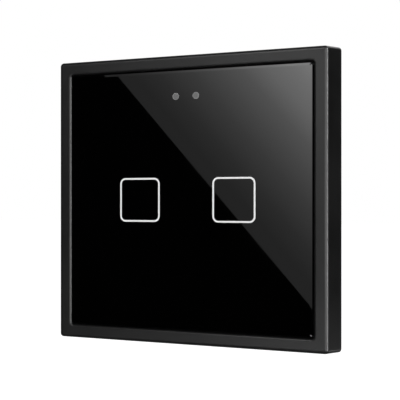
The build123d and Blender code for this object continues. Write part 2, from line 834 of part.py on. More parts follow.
# Each pole: a fixed bar soldered to the board, a screw, and the cage that the screw draws up
for number, pole_x in enumerate(pole_places, start=1):
    with BuildPart() as terminal_bar:
        bar_low = cage_z - cage_length / 2
        bar_centre = (pole_x, (bar_low + cavity_high) / 2)
        slab(bar_back, bar_centre, (bar_width, cavity_high - bar_low), bar_thickness)
        tail_centre = (pole_x, cavity_high - bar_thickness / 2)
        tail_length = power_board_level + bar_tail_proud - bar_back
        slab(bar_back, tail_centre, (bar_width, bar_thickness), tail_length)
    terminal_bar.part.label = f"terminal_bar_{number}"
    export_step(terminal_bar.part, f"parts/terminal_bar_{number}.step")

    screw_centre = (pole_x, cage_z)
    with BuildPart() as terminal_screw:
        rod(screw_tip_level, screw_centre, clamp_screw_radius, screw_head_level - screw_tip_level)
        rod(screw_head_level, screw_centre, clamp_screw_head_radius, -clamp_screw_head_height)
        chamfer(
            terminal_screw.faces().sort_by(Axis.Y)[-1].edges()
            + terminal_screw.faces().sort_by(Axis.Y)[0].edges(),
            clamp_chamfer,
        )
        screw_slot(
            screw_head_level - clamp_screw_head_height,
            screw_centre,
            clamp_screw_head_radius,
            clamp_screw_slot_width,
            clamp_screw_slot_depth,
        )
    terminal_screw.part.label = f"terminal_screw_{number}"
    export_step(terminal_screw.part, f"parts/terminal_screw_{number}.step")

    with BuildPart() as terminal_cage:
        cage_bottom = cage_roof_level + cage_opening + cage_floor
        cage_height = cage_floor + cage_opening + cage_roof
        slab(cage_bottom, screw_centre, (cage_width, cage_length), -cage_height)
        with BuildSketch(Plane.XY.offset(cage_z - cage_length / 2)):
            with Locations((pole_x, -(cage_roof_level + cage_opening / 2))):
                Rectangle(cage_width - 2 * cage_wall, cage_opening)
        extrude(amount=cage_length, mode=Mode.SUBTRACT)
        thread_radius = clamp_screw_radius + clamp_thread_clearance
        rod(cage_roof_level, screw_centre, thread_radius, -cage_roof, Mode.SUBTRACT)
    terminal_cage.part.label = f"terminal_cage_{number}"
    export_step(terminal_cage.part, f"parts/terminal_cage_{number}.step")

# Relays: each has a base, a case, a coil, an iron yoke with its core, and the pieces that switch
for side, relay_x in zip(sides, relay_places):
    relay_centre = (relay_x, relay_z)
    coil_place = (relay_x + coil_centre, relay_z)
    contact_leg = (relay_x + contact_post_offset, relay_z)
    upright_x = relay_x + hinge_offset
    yoke_leg = (upright_x, relay_z)
    leg_slot = leg_side + 2 * leg_slot_gap
    leg_tip = power_board_level + leg_proud

    with BuildPart() as relay_base:
        base_size = (
            relay_length - 2 * (relay_wall + relay_fit),
            relay_width - 2 * (relay_wall + relay_fit),
        )
        slab(power_board_back, relay_centre, base_size, -relay_base_thickness)
        for leg_centre in (contact_leg, yoke_leg):
            slab(
                power_board_back,
                leg_centre,
                (leg_slot, leg_slot),
                -relay_base_thickness,
                mode=Mode.SUBTRACT,
            )
    relay_base.part.label = f"relay_base_{side}"
    export_step(relay_base.part, f"parts/relay_base_{side}.step")

    with BuildPart() as relay_case:
        slab(power_board_back, relay_centre, (relay_length, relay_width), -relay_height, relay_corner)
        case_inner = (relay_length - 2 * relay_wall, relay_width - 2 * relay_wall)
        slab(
            power_board_back,
            relay_centre,
            case_inner,
            relay_wall - relay_height,
            mode=Mode.SUBTRACT,
        )
    relay_case.part.label = f"relay_case_{side}"
    export_step(relay_case.part, f"parts/relay_case_{side}.step")

    with BuildPart() as relay_coil:
        rod(relay_foot_back, coil_place, coil_radius, -coil_height)
        rod(relay_foot_back, coil_place, coil_flange_radius, -coil_flange_thickness)
        rod(coil_back, coil_place, coil_flange_radius, coil_flange_thickness)
        rod(
            relay_foot_back,
            coil_place,
            core_radius + coil_bore_clearance,
            -coil_height,
            Mode.SUBTRACT,
        )
    relay_coil.part.label = f"relay_coil_{side}"
    export_step(relay_coil.part, f"parts/relay_coil_{side}.step")

    with BuildPart() as relay_yoke:
        foot_end = relay_x + coil_centre - coil_radius / 2
        foot_length = upright_x + iron_thickness / 2 - foot_end
        foot_centre = (foot_end + foot_length / 2, relay_z)
        slab(relay_base_back, foot_centre, (foot_length, iron_width), -iron_thickness)
        upright_height = relay_base_back - pole_level
        slab(relay_base_back, (upright_x, relay_z), (iron_thickness, iron_width), -upright_height)
        slab(relay_base_back, yoke_leg, (leg_side, leg_side), leg_tip - relay_base_back)
        rod(relay_base_back, coil_place, core_radius, pole_level - relay_base_back)
        rod(pole_level, coil_place, pole_radius, pole_thickness)
    relay_yoke.part.label = f"relay_yoke_{side}"
    export_step(relay_yoke.part, f"parts/relay_yoke_{side}.step")

    # The armature rests open, tilted about the top edge of the yoke, and closes on the pole face
    tilt = radians(armature_angle)
    hinge_plane = Plane(
        origin=(upright_x, -armature_level, relay_z),
        x_dir=(-cos(tilt), sin(tilt), 0),
        z_dir=(sin(tilt), cos(tilt), 0),
    )
    with BuildPart() as relay_armature:
        with BuildSketch(hinge_plane):
            with Locations(((armature_reach - armature_tail) / 2, 0)):
                Rectangle(armature_reach + armature_tail, armature_width)
        extrude(amount=iron_thickness)
    relay_armature.part.label = f"relay_armature_{side}"
    export_step(relay_armature.part, f"parts/relay_armature_{side}.step")

    with BuildPart() as relay_blade:
        with BuildSketch(hinge_plane.offset(iron_thickness)):
            with Locations(((blade_start + blade_reach) / 2, 0)):
                Rectangle(blade_reach - blade_start, blade_width)
        extrude(amount=blade_thickness)
        with BuildSketch(hinge_plane.offset(iron_thickness)):
            with Locations((hinge_offset - contact_offset, 0)):
                Circle(contact_radius)
        extrude(amount=-contact_height)
    relay_blade.part.label = f"relay_blade_{side}"
    export_step(relay_blade.part, f"parts/relay_blade_{side}.step")

    # The fixed contact stands on a post at the far side of the coil
    with BuildPart() as relay_contact:
        contact_face = armature_level - iron_thickness + contact_height + armature_gap
        anvil_level = contact_face + contact_height
        post_x = relay_x + contact_post_offset
        anvil_end = relay_x + contact_offset + contact_radius
        anvil_start = post_x - contact_post_thickness / 2
        anvil_centre = ((anvil_start + anvil_end) / 2, relay_z)
        anvil_size = (anvil_end - anvil_start, contact_post_width)
        slab(anvil_level, anvil_centre, anvil_size, contact_post_thickness)
        post_size = (contact_post_thickness, contact_post_width)
        slab(relay_base_back, (post_x, relay_z), post_size, anvil_level - relay_base_back)
        slab(relay_base_back, contact_leg, (post_size[0], leg_side), leg_tip - relay_base_back)
        rod(anvil_level, (relay_x + contact_offset, relay_z), contact_radius, -contact_height)
    relay_contact.part.label = f"relay_contact_{side}"
    export_step(relay_contact.part, f"parts/relay_contact_{side}.step")

# Transformer: a ferrite core with two windows, and the wound bobbin round its middle leg
with BuildPart() as transformer_core:
    slab(core_front, transformer_centre, transformer_core_size, -transformer_core_height)
    for sign in (-1, 1):
        slab(
            core_front - transformer_yoke,
            (transformer_centre[0] + sign * window_offset, transformer_centre[1]),
            (window_width, transformer_core_size[1]),
            -window_height,
            mode=Mode.SUBTRACT,
        )
transformer_core.part.label = "transformer_core"
export_step(transformer_core.part, "parts/transformer_core.step")

with BuildPart() as transformer_bobbin:
    slab(power_board_back, transformer_centre, bobbin_base_size, -bobbin_base_thickness)
    winding_front = core_front - transformer_yoke - bobbin_clearance
    winding_height = window_height - 2 * bobbin_clearance
    winding_width = transformer_leg + 2 * (window_width - bobbin_clearance)
    slab(
        power_board_back,
        transformer_centre,
        (winding_width, bobbin_depth),
        winding_front - winding_height - power_board_back,
    )
    slab(
        power_board_back - bobbin_base_thickness,
        transformer_centre,
        (winding_width + overrun, transformer_core_size[1] + 2 * bobbin_clearance),
        winding_front - (power_board_back - bobbin_base_thickness),
        mode=Mode.SUBTRACT,
    )
    slab(
        winding_front,
        transformer_centre,
        (transformer_leg + 2 * bobbin_clearance, transformer_core_size[1] + 2 * bobbin_clearance),
        -winding_height,
        mode=Mode.SUBTRACT,
    )
transformer_bobbin.part.label = "transformer_bobbin"
export_step(transformer_bobbin.part, "parts/transformer_bobbin.step")

# Boxed film capacitor
with BuildPart() as film_capacitor:
    slab(
        power_board_back,
        film_capacitor_centre,
        film_capacitor_size,
        -film_capacitor_height,
        film_capacitor_corner,
    )
film_capacitor.part.label = "film_capacitor"
export_step(film_capacitor.part, "parts/film_capacitor.step")

# Two round capacitors with a rolled groove above the board
with BuildPart() as electrolytic_capacitors:
    for centre, radius, height in zip(can_centres, can_radii, can_heights):
        rod(power_board_back, centre, radius, -height)
    can_tops = electrolytic_capacitors.faces().filter_by(
        lambda face: face.center().Y > -power_board_back + min(can_heights) / 2
    )
    fillet(can_tops.filter_by(GeomType.PLANE).edges(), can_fillet)
    for centre, radius in zip(can_centres, can_radii):
        with BuildSketch(level(power_board_back - can_groove_level)):
            with Locations(centre):
                Circle(radius)
                Circle(radius - can_groove_depth, mode=Mode.SUBTRACT)
        extrude(amount=-can_groove_height, mode=Mode.SUBTRACT)
electrolytic_capacitors.part.label = "electrolytic_capacitors"
export_step(electrolytic_capacitors.part, "parts/electrolytic_capacitors.step")

# Varistor disc standing on the board
with BuildPart() as varistor:
    disc_plane = Plane.XY.offset(varistor_centre[1])
    with BuildSketch(disc_plane):
        with Locations((varistor_centre[0], varistor_radius - power_board_back)):
            Circle(varistor_radius)
    extrude(amount=varistor_thickness / 2, both=True)
    fillet(varistor.edges().filter_by(GeomType.CIRCLE), varistor_fillet)
varistor.part.label = "varistor"
export_step(varistor.part, "parts/varistor.step")

# Fuse resistor lying on the board, with its two end caps
with BuildPart() as fuse_resistor:
    fuse_y = fuse_cap_radius - power_board_back
    with BuildSketch(Plane.YZ.offset(fuse_centre[0])):
        with Locations((fuse_y, fuse_centre[1])):
            Circle(fuse_radius)
    extrude(amount=fuse_length / 2, both=True)
    for end in (-fuse_length / 2, fuse_length / 2 - fuse_cap_length):
        with BuildSketch(Plane.YZ.offset(fuse_centre[0] + end)):
            with Locations((fuse_y, fuse_centre[1])):
                Circle(fuse_cap_radius)
        extrude(amount=fuse_cap_length)
fuse_resistor.part.label = "fuse_resistor"
export_step(fuse_resistor.part, "parts/fuse_resistor.step")

# Rectifier and supply chip
with BuildPart() as bridge_rectifier:
    chip(power_board_back, bridge_centre, bridge_size, bridge_height, 2, bridge_lead_pitch)
bridge_rectifier.part.label = "bridge_rectifier"
export_step(bridge_rectifier.part, "parts/bridge_rectifier.step")

with BuildPart() as supply_chip:
    supply_leads = int(supply_chip_size[1] // supply_lead_pitch) + 1
    chip(
        power_board_back,
        supply_chip_centre,
        supply_chip_size,
        supply_chip_height,
        supply_leads,
        supply_lead_pitch,
    )
supply_chip.part.label = "supply_chip"
export_step(supply_chip.part, "parts/supply_chip.step")
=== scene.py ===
import json
import math

import bmesh
import bpy
from mathutils import Matrix, Vector


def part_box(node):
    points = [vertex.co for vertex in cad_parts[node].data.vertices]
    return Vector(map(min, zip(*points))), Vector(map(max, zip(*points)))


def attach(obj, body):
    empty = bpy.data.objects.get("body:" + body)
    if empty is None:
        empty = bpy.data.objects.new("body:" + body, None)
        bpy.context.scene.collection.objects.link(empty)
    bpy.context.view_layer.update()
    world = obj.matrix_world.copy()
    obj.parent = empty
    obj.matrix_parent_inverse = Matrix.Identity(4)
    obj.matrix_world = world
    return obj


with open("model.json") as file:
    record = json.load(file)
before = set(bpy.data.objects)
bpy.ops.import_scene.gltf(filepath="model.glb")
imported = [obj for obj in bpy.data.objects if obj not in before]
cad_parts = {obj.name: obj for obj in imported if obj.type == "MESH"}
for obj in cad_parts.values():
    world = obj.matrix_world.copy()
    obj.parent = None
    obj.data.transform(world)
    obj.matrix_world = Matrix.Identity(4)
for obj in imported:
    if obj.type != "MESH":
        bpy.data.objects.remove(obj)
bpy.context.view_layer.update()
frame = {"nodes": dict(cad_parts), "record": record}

# Sizes in metres. The wall is the plane y = 0, the room is on its -Y side and +Z is up.
mm = 0.001

# Camera, fitted to the outline of the photographed plate
sensor_width = 36.0
image_width = 400
focal_pixels = 857.5
camera_place = Vector((96.906, -238.581, -0.037)) * mm
camera_yaw = math.radians(22.123)
clip_near = 10 * mm
clip_far = 50.0

# Studio: a floor under the object, an even room light and two lamps. The floor also glows,
# more and more from one distance to the other.
floor_drop = 0.35
floor_reach = 12.0
floor_shade = 0.8
floor_patch = 0.4
floor_patch_share = 1.04
floor_glow_near = 0.25
floor_glow_far = 0.8
floor_glow_from = 0.5
floor_glow_to = 1.3
ambient = 0.34
key_power = 10.0
key_place = Vector((0.15, -1.1, 0.45))
key_size = 0.9
back_power = 9.0
back_place = Vector((0.5, 1.1, 0.7))
back_size = 0.9

# Reflection cards, seen only by glossy rays. Each area is left, right, low and high in the
# plane of the cards. The big graded card fades out at its right and at its top.
card_plane = -0.6
glow_area = (-0.43, -0.06, -0.18, 0.18)
glow_fade_right = (-0.113, -0.083)
glow_fade_up = (0.142, 0.175)

# Strips that light the glass's edges: area, shift of the slanted line, share of its level, and
# fades, each an axis and the places where the strip is still bright and where it is dark
edge_strips = {
    "right_edge_strip": (
        (-0.03, 0.035, -0.19, 0.19),
        (0.122, 0.0),
        1.0,
        ((0, (0.009, 0.033)), (0, (-0.005, -0.028))),
    ),
    "upper_edge_strip": (
        (-0.43, -0.06, 0.235, 0.285),
        (0.0, 0.09),
        1.03,
        ((2, (0.272, 0.284)), (2, (0.248, 0.236))),
    ),
}

# The slanted line, and how the level rises with the distance from it
glow_line_height = -0.2362
glow_line_angle = math.radians(-48.17)
glow_steps = (
    (0.0, 0.38),
    (0.015, 0.38),
    (0.036, 0.53),
    (0.063, 0.9),
    (0.082, 1.3),
    (0.104, 1.85),
    (0.124, 2.8),
    (0.145, 3.5),
    (0.161, 4.4),
)

# Even cards: area, level, and the share of the width and of the height over which each edge falls off
firm_edges = (0.12, 0.12)
soft_edges = (0.2, 0.42)
high_edges = (0.12, 0.02)
soft_cards = {
    "left_card": ((-0.62, -0.425, -0.25, 0.25), 0.5, firm_edges),
    "left_upper_card": ((-0.5, -0.25, 0.285, 0.5), 0.5, firm_edges),
    "upper_card": ((-0.45, -0.25, 0.165, 0.235), 0.6, firm_edges),
    "high_card": ((-0.25, -0.03, 0.28, 0.64), 5.0, high_edges),
    "right_card": ((0.1, 0.25, -0.2, 0.2), 2.9, firm_edges),
    "lower_card_left": ((-0.45, -0.2, -0.235, -0.165), 1.9, soft_edges),
    "lower_card_right": ((-0.25, 0.08, -0.235, -0.165), 6.6, soft_edges),
    "floor_card_left": ((-0.45, -0.2, -0.34, -0.28), 1.2, soft_edges),
    "floor_card_right": ((-0.25, 0.08, -0.34, -0.28), 3.7, soft_edges),
}

# Curved wall at the right: azimuth in degrees from the plate's front, and level
wall_distance = 0.62
wall_height = (-0.34, 0.5)
wall_fade_low = (-0.34, -0.17)
wall_steps = (
    (22, 0.7),
    (29, 3.6),
    (40, 3.4),
    (52, 2.4),
    (60, 1.7),
    (66, 1.2),
    (74, 1.2),
    (79, 14.0),
    (88, 15.0),
    (92, 8.0),
)

# Dark flags round the studio. The right one leaves a gap for a dim grey card. The arc runs
# behind the curved wall: first azimuth, an end that it doesn't reach, and step, in degrees.
flag_front = -0.63
flag_side = 0.42
flag_back = 3.2
flag_gap = (0.0, 0.34)
flag_gap_glow = 0.3
flag_left_back = 0.7
flag_top_back = 0.4
flag_low_back = 0.1
flag_low_side = (0.05, 0.9)
flag_top = 0.9
flag_lift = 0.001
flag_reach = 1.3
flag_arc_distance = 0.66
flag_arc = (38, 98, 6)

# Small moulded and stuck-on detail of the rear box. Rounding is the share of an edge's size by
# which its middle point is set in, and a corner keeps at least the given share of its size.
sink = 0.15 * mm
corner_steps = 5
rounding = 0.3
least_corner = 0.3
rib_size = (19 * mm, 1.2 * mm)
rib_corner = 0.48 * rib_size[1]
rib_height = 0.6 * mm
rib_edge = 0.2 * mm
rib_draft = 0.08 * mm
rib_from_y = 3.5 * mm
rib_centre_y = 14.5 * mm
rib_heights = (-9 * mm, 5 * mm, 19 * mm)
label_size = (34 * mm, 25 * mm)
label_centre_z = 9 * mm
label_thickness = 0.12 * mm
label_edge = 0.04 * mm
label_corner = 1.5 * mm
label_border = 1.2 * mm
label_print = (1.3 * mm, 1.55 * mm)
frame_line = 0.8 * mm
frame_line_height = 0.3 * mm
frame_line_edge = 0.15 * mm
frame_line_shoulder = 0.6 * frame_line_height
fence_size = (0.9 * mm, 11.5 * mm)
fence_corner = 0.45 * fence_size[0]
fence_height = 0.45 * mm
fence_edge = 0.15 * mm
fence_draft = 0.05 * mm
fence_count = 3

# Materials. Most of a noise lies in its range, and the drifts are how far roughness strays. The
# rim of a light pipe starts and is complete at these distances from its middle.
noise_range = (0.3, 0.7)
plastic_gloss_drift = 0.03
metal_gloss_drift = 0.08
stain_gloss_drift = 0.04
pipe_rim = (0.75 * mm, 0.98 * mm)


class Nodes:
    """A node tree, with short calls to add and link its nodes."""

    def __init__(self, tree):
        self.tree = tree
        self.tree.nodes.clear()

    def node(self, kind, **settings):
        made = self.tree.nodes.new(kind)
        for key, value in settings.items():
            setattr(made, key, value)
        return made

    def link(self, source, target):
        self.tree.links.new(source, target)

    def feed(self, socket, value):
        """Links a socket to another, or sets it to a plain value."""
        if isinstance(value, bpy.types.NodeSocket):
            self.link(value, socket)
        else:
            socket.default_value = value

    def math(self, operation, first, second=0.0):
        made = self.node("ShaderNodeMath", operation=operation)
        self.feed(made.inputs[0], first)
        self.feed(made.inputs[1], second)
        return made.outputs[0]

    def ramp(self, value, low, high, start, end):
        """Maps value from low..high to start..end, and holds it outside."""
        made = self.node("ShaderNodeMapRange")
        for socket, given in zip(made.inputs, (value, low, high, start, end)):
            self.feed(socket, given)
        return made.outputs[0]

    def mix(self, share, first, second):
        """Blends two colours."""
        made = self.node("ShaderNodeMix", data_type="RGBA")
        self.feed(made.inputs[0], share)
        self.feed(made.inputs[6], first)
        self.feed(made.inputs[7], second)
        return made.outputs[2]

    def blend(self, share, first, second):
        """Blends two shaders."""
        made = self.node("ShaderNodeMixShader")
        for source, socket in zip((share, first, second), made.inputs):
            self.link(source, socket)
        return made.outputs[0]

    def seen(self):
        """1 for camera, glossy and transmission rays, and 0 for all others."""
        path = self.node("ShaderNodeLightPath")
        most = self.math("MAXIMUM", path.outputs["Is Camera Ray"], path.outputs["Is Glossy Ray"])
        return self.math("MAXIMUM", most, path.outputs["Is Transmission Ray"])


class Shader(Nodes):
    """One material, with calls for what the materials share."""

    def __init__(self, name):
        self.material = bpy.data.materials.new(name)
        self.material.use_nodes = True
        super().__init__(self.material.node_tree)
        self.output = self.node("ShaderNodeOutputMaterial")

    def axes(self, kind="Object"):
        """A point's three coordinates, as a list of sockets."""
        split = self.node("ShaderNodeSeparateXYZ")
        self.link(self.node("ShaderNodeTexCoord").outputs[kind], split.inputs[0])
        return split.outputs

    def place(self, stretch=(1.0, 1.0, 1.0)):
        """A point's place in the row frame, stretched along the axes."""
        coordinates = self.node("ShaderNodeTexCoord")
        mapping = self.node("ShaderNodeMapping")
        self.link(coordinates.outputs["Object"], mapping.inputs[0])
        mapping.inputs["Scale"].default_value = stretch
        return mapping.outputs[0]

    def noise(self, size, detail=2.0, stretch=(1.0, 1.0, 1.0), roughness=0.5):
        """Noise whose patches are about this size in metres."""
        made = self.node("ShaderNodeTexNoise")
        self.link(self.place(stretch), made.inputs["Vector"])
        made.inputs["Scale"].default_value = 1 / size
        made.inputs["Detail"].default_value = detail
        made.inputs["Roughness"].default_value = roughness
        return made.outputs["Fac"]

    def spread(self, noise, start, end):
        """Maps the range in which most of a noise lies to start..end."""
        return self.ramp(noise, *noise_range, start, end)

    def steps(self, value, points):
        """A level that runs straight from point to point, each of them a value and its level."""
        level = points[0][1]
        for (start, low), (end, high) in zip(points, points[1:]):
            level = self.math("ADD", level, self.ramp(value, start, end, 0.0, high - low))
        return level

    def bump(self, height, depth):
        """A bump of this depth in metres."""
        made = self.node("ShaderNodeBump")
        made.inputs["Strength"].default_value = 1.0
        made.inputs["Distance"].default_value = depth
        self.link(height, made.inputs["Height"])
        return made.outputs[0]

    def surface(self, **values):
        """The closing shader; names are its sockets with _ for blanks."""
        made = self.node("ShaderNodeBsdfPrincipled")
        for key, value in values.items():
            self.feed(made.inputs[key.replace("_", " ")], value)
        self.link(made.outputs[0], self.output.inputs[0])
        return self.material

    def glow(self, level):
        """The closing shader of a card that shines at this level."""
        made = self.node("ShaderNodeEmission")
        self.feed(made.inputs["Strength"], level)
        self.link(made.outputs[0], self.output.inputs[0])
        return self.material


def colour(red, green, blue):
    """An opaque colour."""
    return (red, green, blue, 1.0)


def grey(value):
    """An opaque grey."""
    return colour(value, value, value)


def dimmed(tone, share):
    """A colour made darker or lighter by a share."""
    return colour(*(min(1.0, channel * share) for channel in tone[:3]))


def moulded(name, tone, roughness, grain=0.12 * mm, depth=0.004 * mm, variation=0.18, patch=6 * mm):
    """Moulded plastic: a fine even grain, and broad soft differences in tone and gloss."""
    look = Shader(name)
    cloud = look.noise(patch, 3.0)
    fine = look.noise(grain, 2.0)
    base = look.mix(look.spread(cloud, 0.0, 1.0), dimmed(tone, 1 - variation), dimmed(tone, 1 + variation))
    broad = look.spread(cloud, -plastic_gloss_drift, plastic_gloss_drift)
    close = look.spread(fine, roughness - plastic_gloss_drift, roughness + plastic_gloss_drift)
    rough = look.math("ADD", broad, close)
    return look.surface(Base_Color=base, Roughness=rough, IOR=1.49, Normal=look.bump(fine, depth))


def metal(name, tone, roughness, brush=(1.0, 1.0, 1.0), grain=0.15 * mm, depth=0.002 * mm, stain=0.15):
    """Plated or rolled metal: fine marks, drawn out along the brushing, and faint staining."""
    look = Shader(name)
    marks = look.noise(grain, 3.0, brush, 0.6)
    cloud = look.noise(4 * mm, 4.0)
    base = look.mix(look.ramp(cloud, 0.35, 0.7, 0.0, 1.0), tone, dimmed(tone, 1 - stain))
    close = look.spread(marks, roughness - metal_gloss_drift, roughness + metal_gloss_drift)
    broad = look.spread(cloud, -stain_gloss_drift, stain_gloss_drift)
    rough = look.math("ADD", close, broad)
    return look.surface(Base_Color=base, Metallic=1.0, Roughness=rough, Normal=look.bump(marks, depth))


def black_glass():
    """Black glass, polished, with the faint unevenness of a wiped surface."""
    look = Shader("black_glass")
    film = look.noise(9 * mm, 4.0, (1.0, 1.0, 0.6))
    rough = look.ramp(film, 0.4, 0.8, 0.012, 0.03)
    base = look.mix(film, grey(0.0002), grey(0.0005))
    return look.surface(Base_Color=base, Roughness=rough, IOR=1.52)


def white_print():
    """Fired white enamel with a slightly open texture."""
    look = Shader("white_print")
    fine = look.noise(0.08 * mm, 2.0)
    base = look.mix(look.ramp(fine, 0.35, 0.65, 0.0, 1.0), grey(0.74), grey(0.86))
    return look.surface(Base_Color=base, Roughness=0.35, IOR=1.5, Normal=look.bump(fine, 0.002 * mm))


def light_pipe():
    """Grey clouded acrylic, lighter at the rim of each dot."""
    look = Shader("light_pipe")
    x, _, z = look.axes()
    low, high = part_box("indicator_light_pipe_right")
    centre = (low + high) / 2
    across = look.math("SUBTRACT", look.math("ABSOLUTE", x), centre.x)
    along = look.math("SUBTRACT", z, centre.z)
    square = look.math("ADD", look.math("MULTIPLY", across, across), look.math("MULTIPLY", along, along))
    rim = look.ramp(look.math("SQRT", square), *pipe_rim, 0.0, 1.0)
    cloud = look.noise(0.3 * mm, 3.0)
    middle = look.mix(cloud, grey(0.112), grey(0.138))
    return look.surface(Base_Color=look.mix(rim, middle, grey(0.235)), Roughness=0.3, IOR=1.49)


def circuit_board():
    """Green solder mask over copper tracks that show as a lighter, raised pattern."""
    look = Shader("circuit_board")
    bricks = look.node(
        "ShaderNodeTexBrick",
        offset=0.37,
        offset_frequency=3,
        squash=1.6,
        squash_frequency=2,
    )
    turned = look.node("ShaderNodeMapping")
    look.link(look.node("ShaderNodeTexCoord").outputs["Object"], turned.inputs[0])
    turned.inputs["Rotation"].default_value = (math.pi / 2, 0, 0)
    look.link(turned.outputs[0], bricks.inputs["Vector"])
    bricks.inputs["Scale"].default_value = 1 / (9 * mm)
    bricks.inputs["Mortar Size"].default_value = 0.045
    bricks.inputs["Mortar Smooth"].default_value = 0.1
    bricks.inputs["Brick Width"].default_value = 0.9
    bricks.inputs["Row Height"].default_value = 0.35
    tracks = bricks.outputs["Fac"]
    cloud = look.noise(5 * mm, 3.0)
    mask = look.mix(cloud, colour(0.004, 0.045, 0.018), colour(0.008, 0.065, 0.026))
    base = look.mix(tracks, mask, colour(0.02, 0.14, 0.05))
    return look.surface(Base_Color=base, Roughness=0.32, IOR=1.5, Normal=look.bump(tracks, 0.03 * mm))


def wound_wire(name, tone, turns, depth=0.06 * mm):
    """Enamelled wire, close wound: even ridges round the coil, with painted shade in the grooves between
    turns.
    """
    look = Shader(name)
    wave = look.node("ShaderNodeTexWave", wave_type="BANDS", bands_direction="Y", wave_profile="SIN")
    look.link(look.place(), wave.inputs["Vector"])
    wave.inputs["Scale"].default_value = turns
    wave.inputs["Distortion"].default_value = 0.3
    ridges = wave.outputs["Fac"]
    # Painted shade: the grooves between turns are coloured at half the tone, darker than the wire's own
    # enamel.
    base = look.mix(ridges, dimmed(tone, 0.5), tone)
    return look.surface(Base_Color=base, Metallic=0.3, Roughness=0.3, Normal=look.bump(ridges, depth))


def make_materials():
    """The finish of every slot in the record."""
    return {
        "frame_plastic": moulded(
            "satin_black_plastic",
            colour(0.0068, 0.0068, 0.0069),
            roughness=0.32,
            grain=0.16 * mm,
            depth=0.0006 * mm,
            variation=0.08,
            patch=14 * mm,
        ),
        "panel_glass": black_glass(),
        "key_print": white_print(),
        "light_pipe": light_pipe(),
        "adhesive": moulded("foam_tape", grey(0.015), 0.85, 0.1 * mm, 0.02 * mm),
        "mask_film": moulded("black_film", grey(0.008), 0.6),
        "copper": metal("tinned_copper", colour(0.72, 0.5, 0.3), 0.35),
        "board": circuit_board(),
        "chip_plastic": moulded("chip_plastic", grey(0.02), 0.55, 0.06 * mm),
        "lamp": moulded("lamp_plastic", colour(0.75, 0.72, 0.5), 0.3, 0.05 * mm),
        "connector_plastic": moulded("connector_plastic", grey(0.02), 0.45),
        "contact_gold": metal("gold_plating", colour(0.85, 0.6, 0.25), 0.22, (1.0, 0.1, 1.0)),
        "carrier_plastic": moulded("carrier_plastic", grey(0.028), 0.5, 0.2 * mm, 0.006 * mm),
        "zinc_steel": metal(
            "zinc_plated_steel",
            colour(0.6, 0.62, 0.65),
            roughness=0.34,
            brush=(1.0, 1.0, 0.08),
            grain=0.12 * mm,
            depth=0.0007 * mm,
        ),
        "spring_steel": metal("spring_steel", colour(0.55, 0.55, 0.54), 0.24, (0.1, 1.0, 1.0)),
        "screw_steel": metal("nickel_plated_steel", colour(0.62, 0.6, 0.56), 0.28),
        "box_plastic": moulded("charcoal_plastic", grey(0.032), 0.5, 0.22 * mm, 0.008 * mm),
        "terminal_plastic": moulded("grey_plastic", colour(0.2, 0.21, 0.22), 0.42, 0.18 * mm, 0.005 * mm),
        "terminal_brass": metal("brass", colour(0.74, 0.55, 0.25), 0.3, (1.0, 0.2, 1.0)),
        "relay_plastic": moulded("blue_plastic", colour(0.01, 0.05, 0.22), 0.35),
        "coil_wire": wound_wire("enamelled_coil", colour(0.5, 0.16, 0.05), 1100.0),
        "soft_iron": metal("plated_iron", colour(0.46, 0.46, 0.45), 0.4),
        "ferrite": moulded("ferrite", grey(0.035), 0.6, 0.1 * mm, 0.01 * mm),
        "bobbin_tape": moulded("yellow_tape", colour(0.6, 0.4, 0.03), 0.35),
        "capacitor_yellow": moulded("yellow_case", colour(0.62, 0.38, 0.05), 0.3),
        "capacitor_sleeve": moulded("dark_sleeve", colour(0.012, 0.012, 0.03), 0.3),
        "varistor_blue": moulded("blue_coating", colour(0.02, 0.08, 0.3), 0.35),
        "resistor_body": moulded("lacquer", colour(0.12, 0.24, 0.2), 0.35),
    }


def dress_nodes(materials):
    """Gives each carried node the finish of its slot."""
    for subpart in frame["record"]["subparts"]:
        mesh = frame["nodes"][subpart["node"]].data
        mesh.materials.clear()
        mesh.materials.append(materials[subpart["material_slot"]])


def facing(x_axis, y_axis, place):
    """A flat work plane at a place: its third axis points out of the surface."""
    x_axis, y_axis = Vector(x_axis), Vector(y_axis)
    turn = Matrix((x_axis, y_axis, x_axis.cross(y_axis))).transposed()
    return Matrix.Translation(place) @ turn.to_4x4()


def outline(size, corner):
    """A rounded rectangle round the origin, as a list of points."""
    points = []
    half_x, half_y = size[0] / 2 - corner, size[1] / 2 - corner
    corners = ((half_x, half_y), (-half_x, half_y), (-half_x, -half_y), (half_x, -half_y))
    for number, (x, y) in enumerate(corners):
        for step in range(corner_steps + 1):
            angle = math.pi / 2 * (number + step / corner_steps)
            points.append((x + corner * math.cos(angle), y + corner * math.sin(angle)))
    return points


def grown(size, margin):
    """A size with a margin all round."""
    return [side + 2 * margin for side in size]


def add_ring(mesh, plane, size, corner, level):
    """The points of a rounded rectangle, at a level over a work plane."""
    return [mesh.verts.new(plane @ Vector((x, y, level))) for x, y in outline(size, corner)]


def join_rings(mesh, rings):
    """Faces between each ring and the next."""
    for lower, upper in zip(rings, rings[1:]):
        for number in range(len(lower)):
            following = (number + 1) % len(lower)
            mesh.faces.new((lower[number], lower[following], upper[following], upper[number]))


def raised(mesh, plane, size, corner, height, edge, draft=0.0):
    """A low pad with drafted sides and a rounded top edge, sunk a little into what carries it."""
    profile = (
        (-sink, 0.0),
        (height - edge, draft),
        (height - edge * rounding, draft + edge * rounding),
        (height, draft + edge),
    )
    rings = []
    for level, inset in profile:
        round_corner = max(corner - inset, corner * least_corner)
        rings.append(add_ring(mesh, plane, grown(size, -inset), round_corner, level))
    join_rings(mesh, rings)
    mesh.faces.new(rings[-1])
    mesh.faces.new(list(reversed(rings[0])))


def add_piece(name, mesh, material, body="wall_unit"):
    """Makes the finished mesh a piece of the object, riding on a body."""
    bmesh.ops.recalc_face_normals(mesh, faces=mesh.faces)
    data = bpy.data.meshes.new(name)
    mesh.to_mesh(data)
    mesh.free()
    data.materials.append(material)
    piece = bpy.data.objects.new(name, data)
    bpy.context.scene.collection.objects.link(piece)
    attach(piece, body)


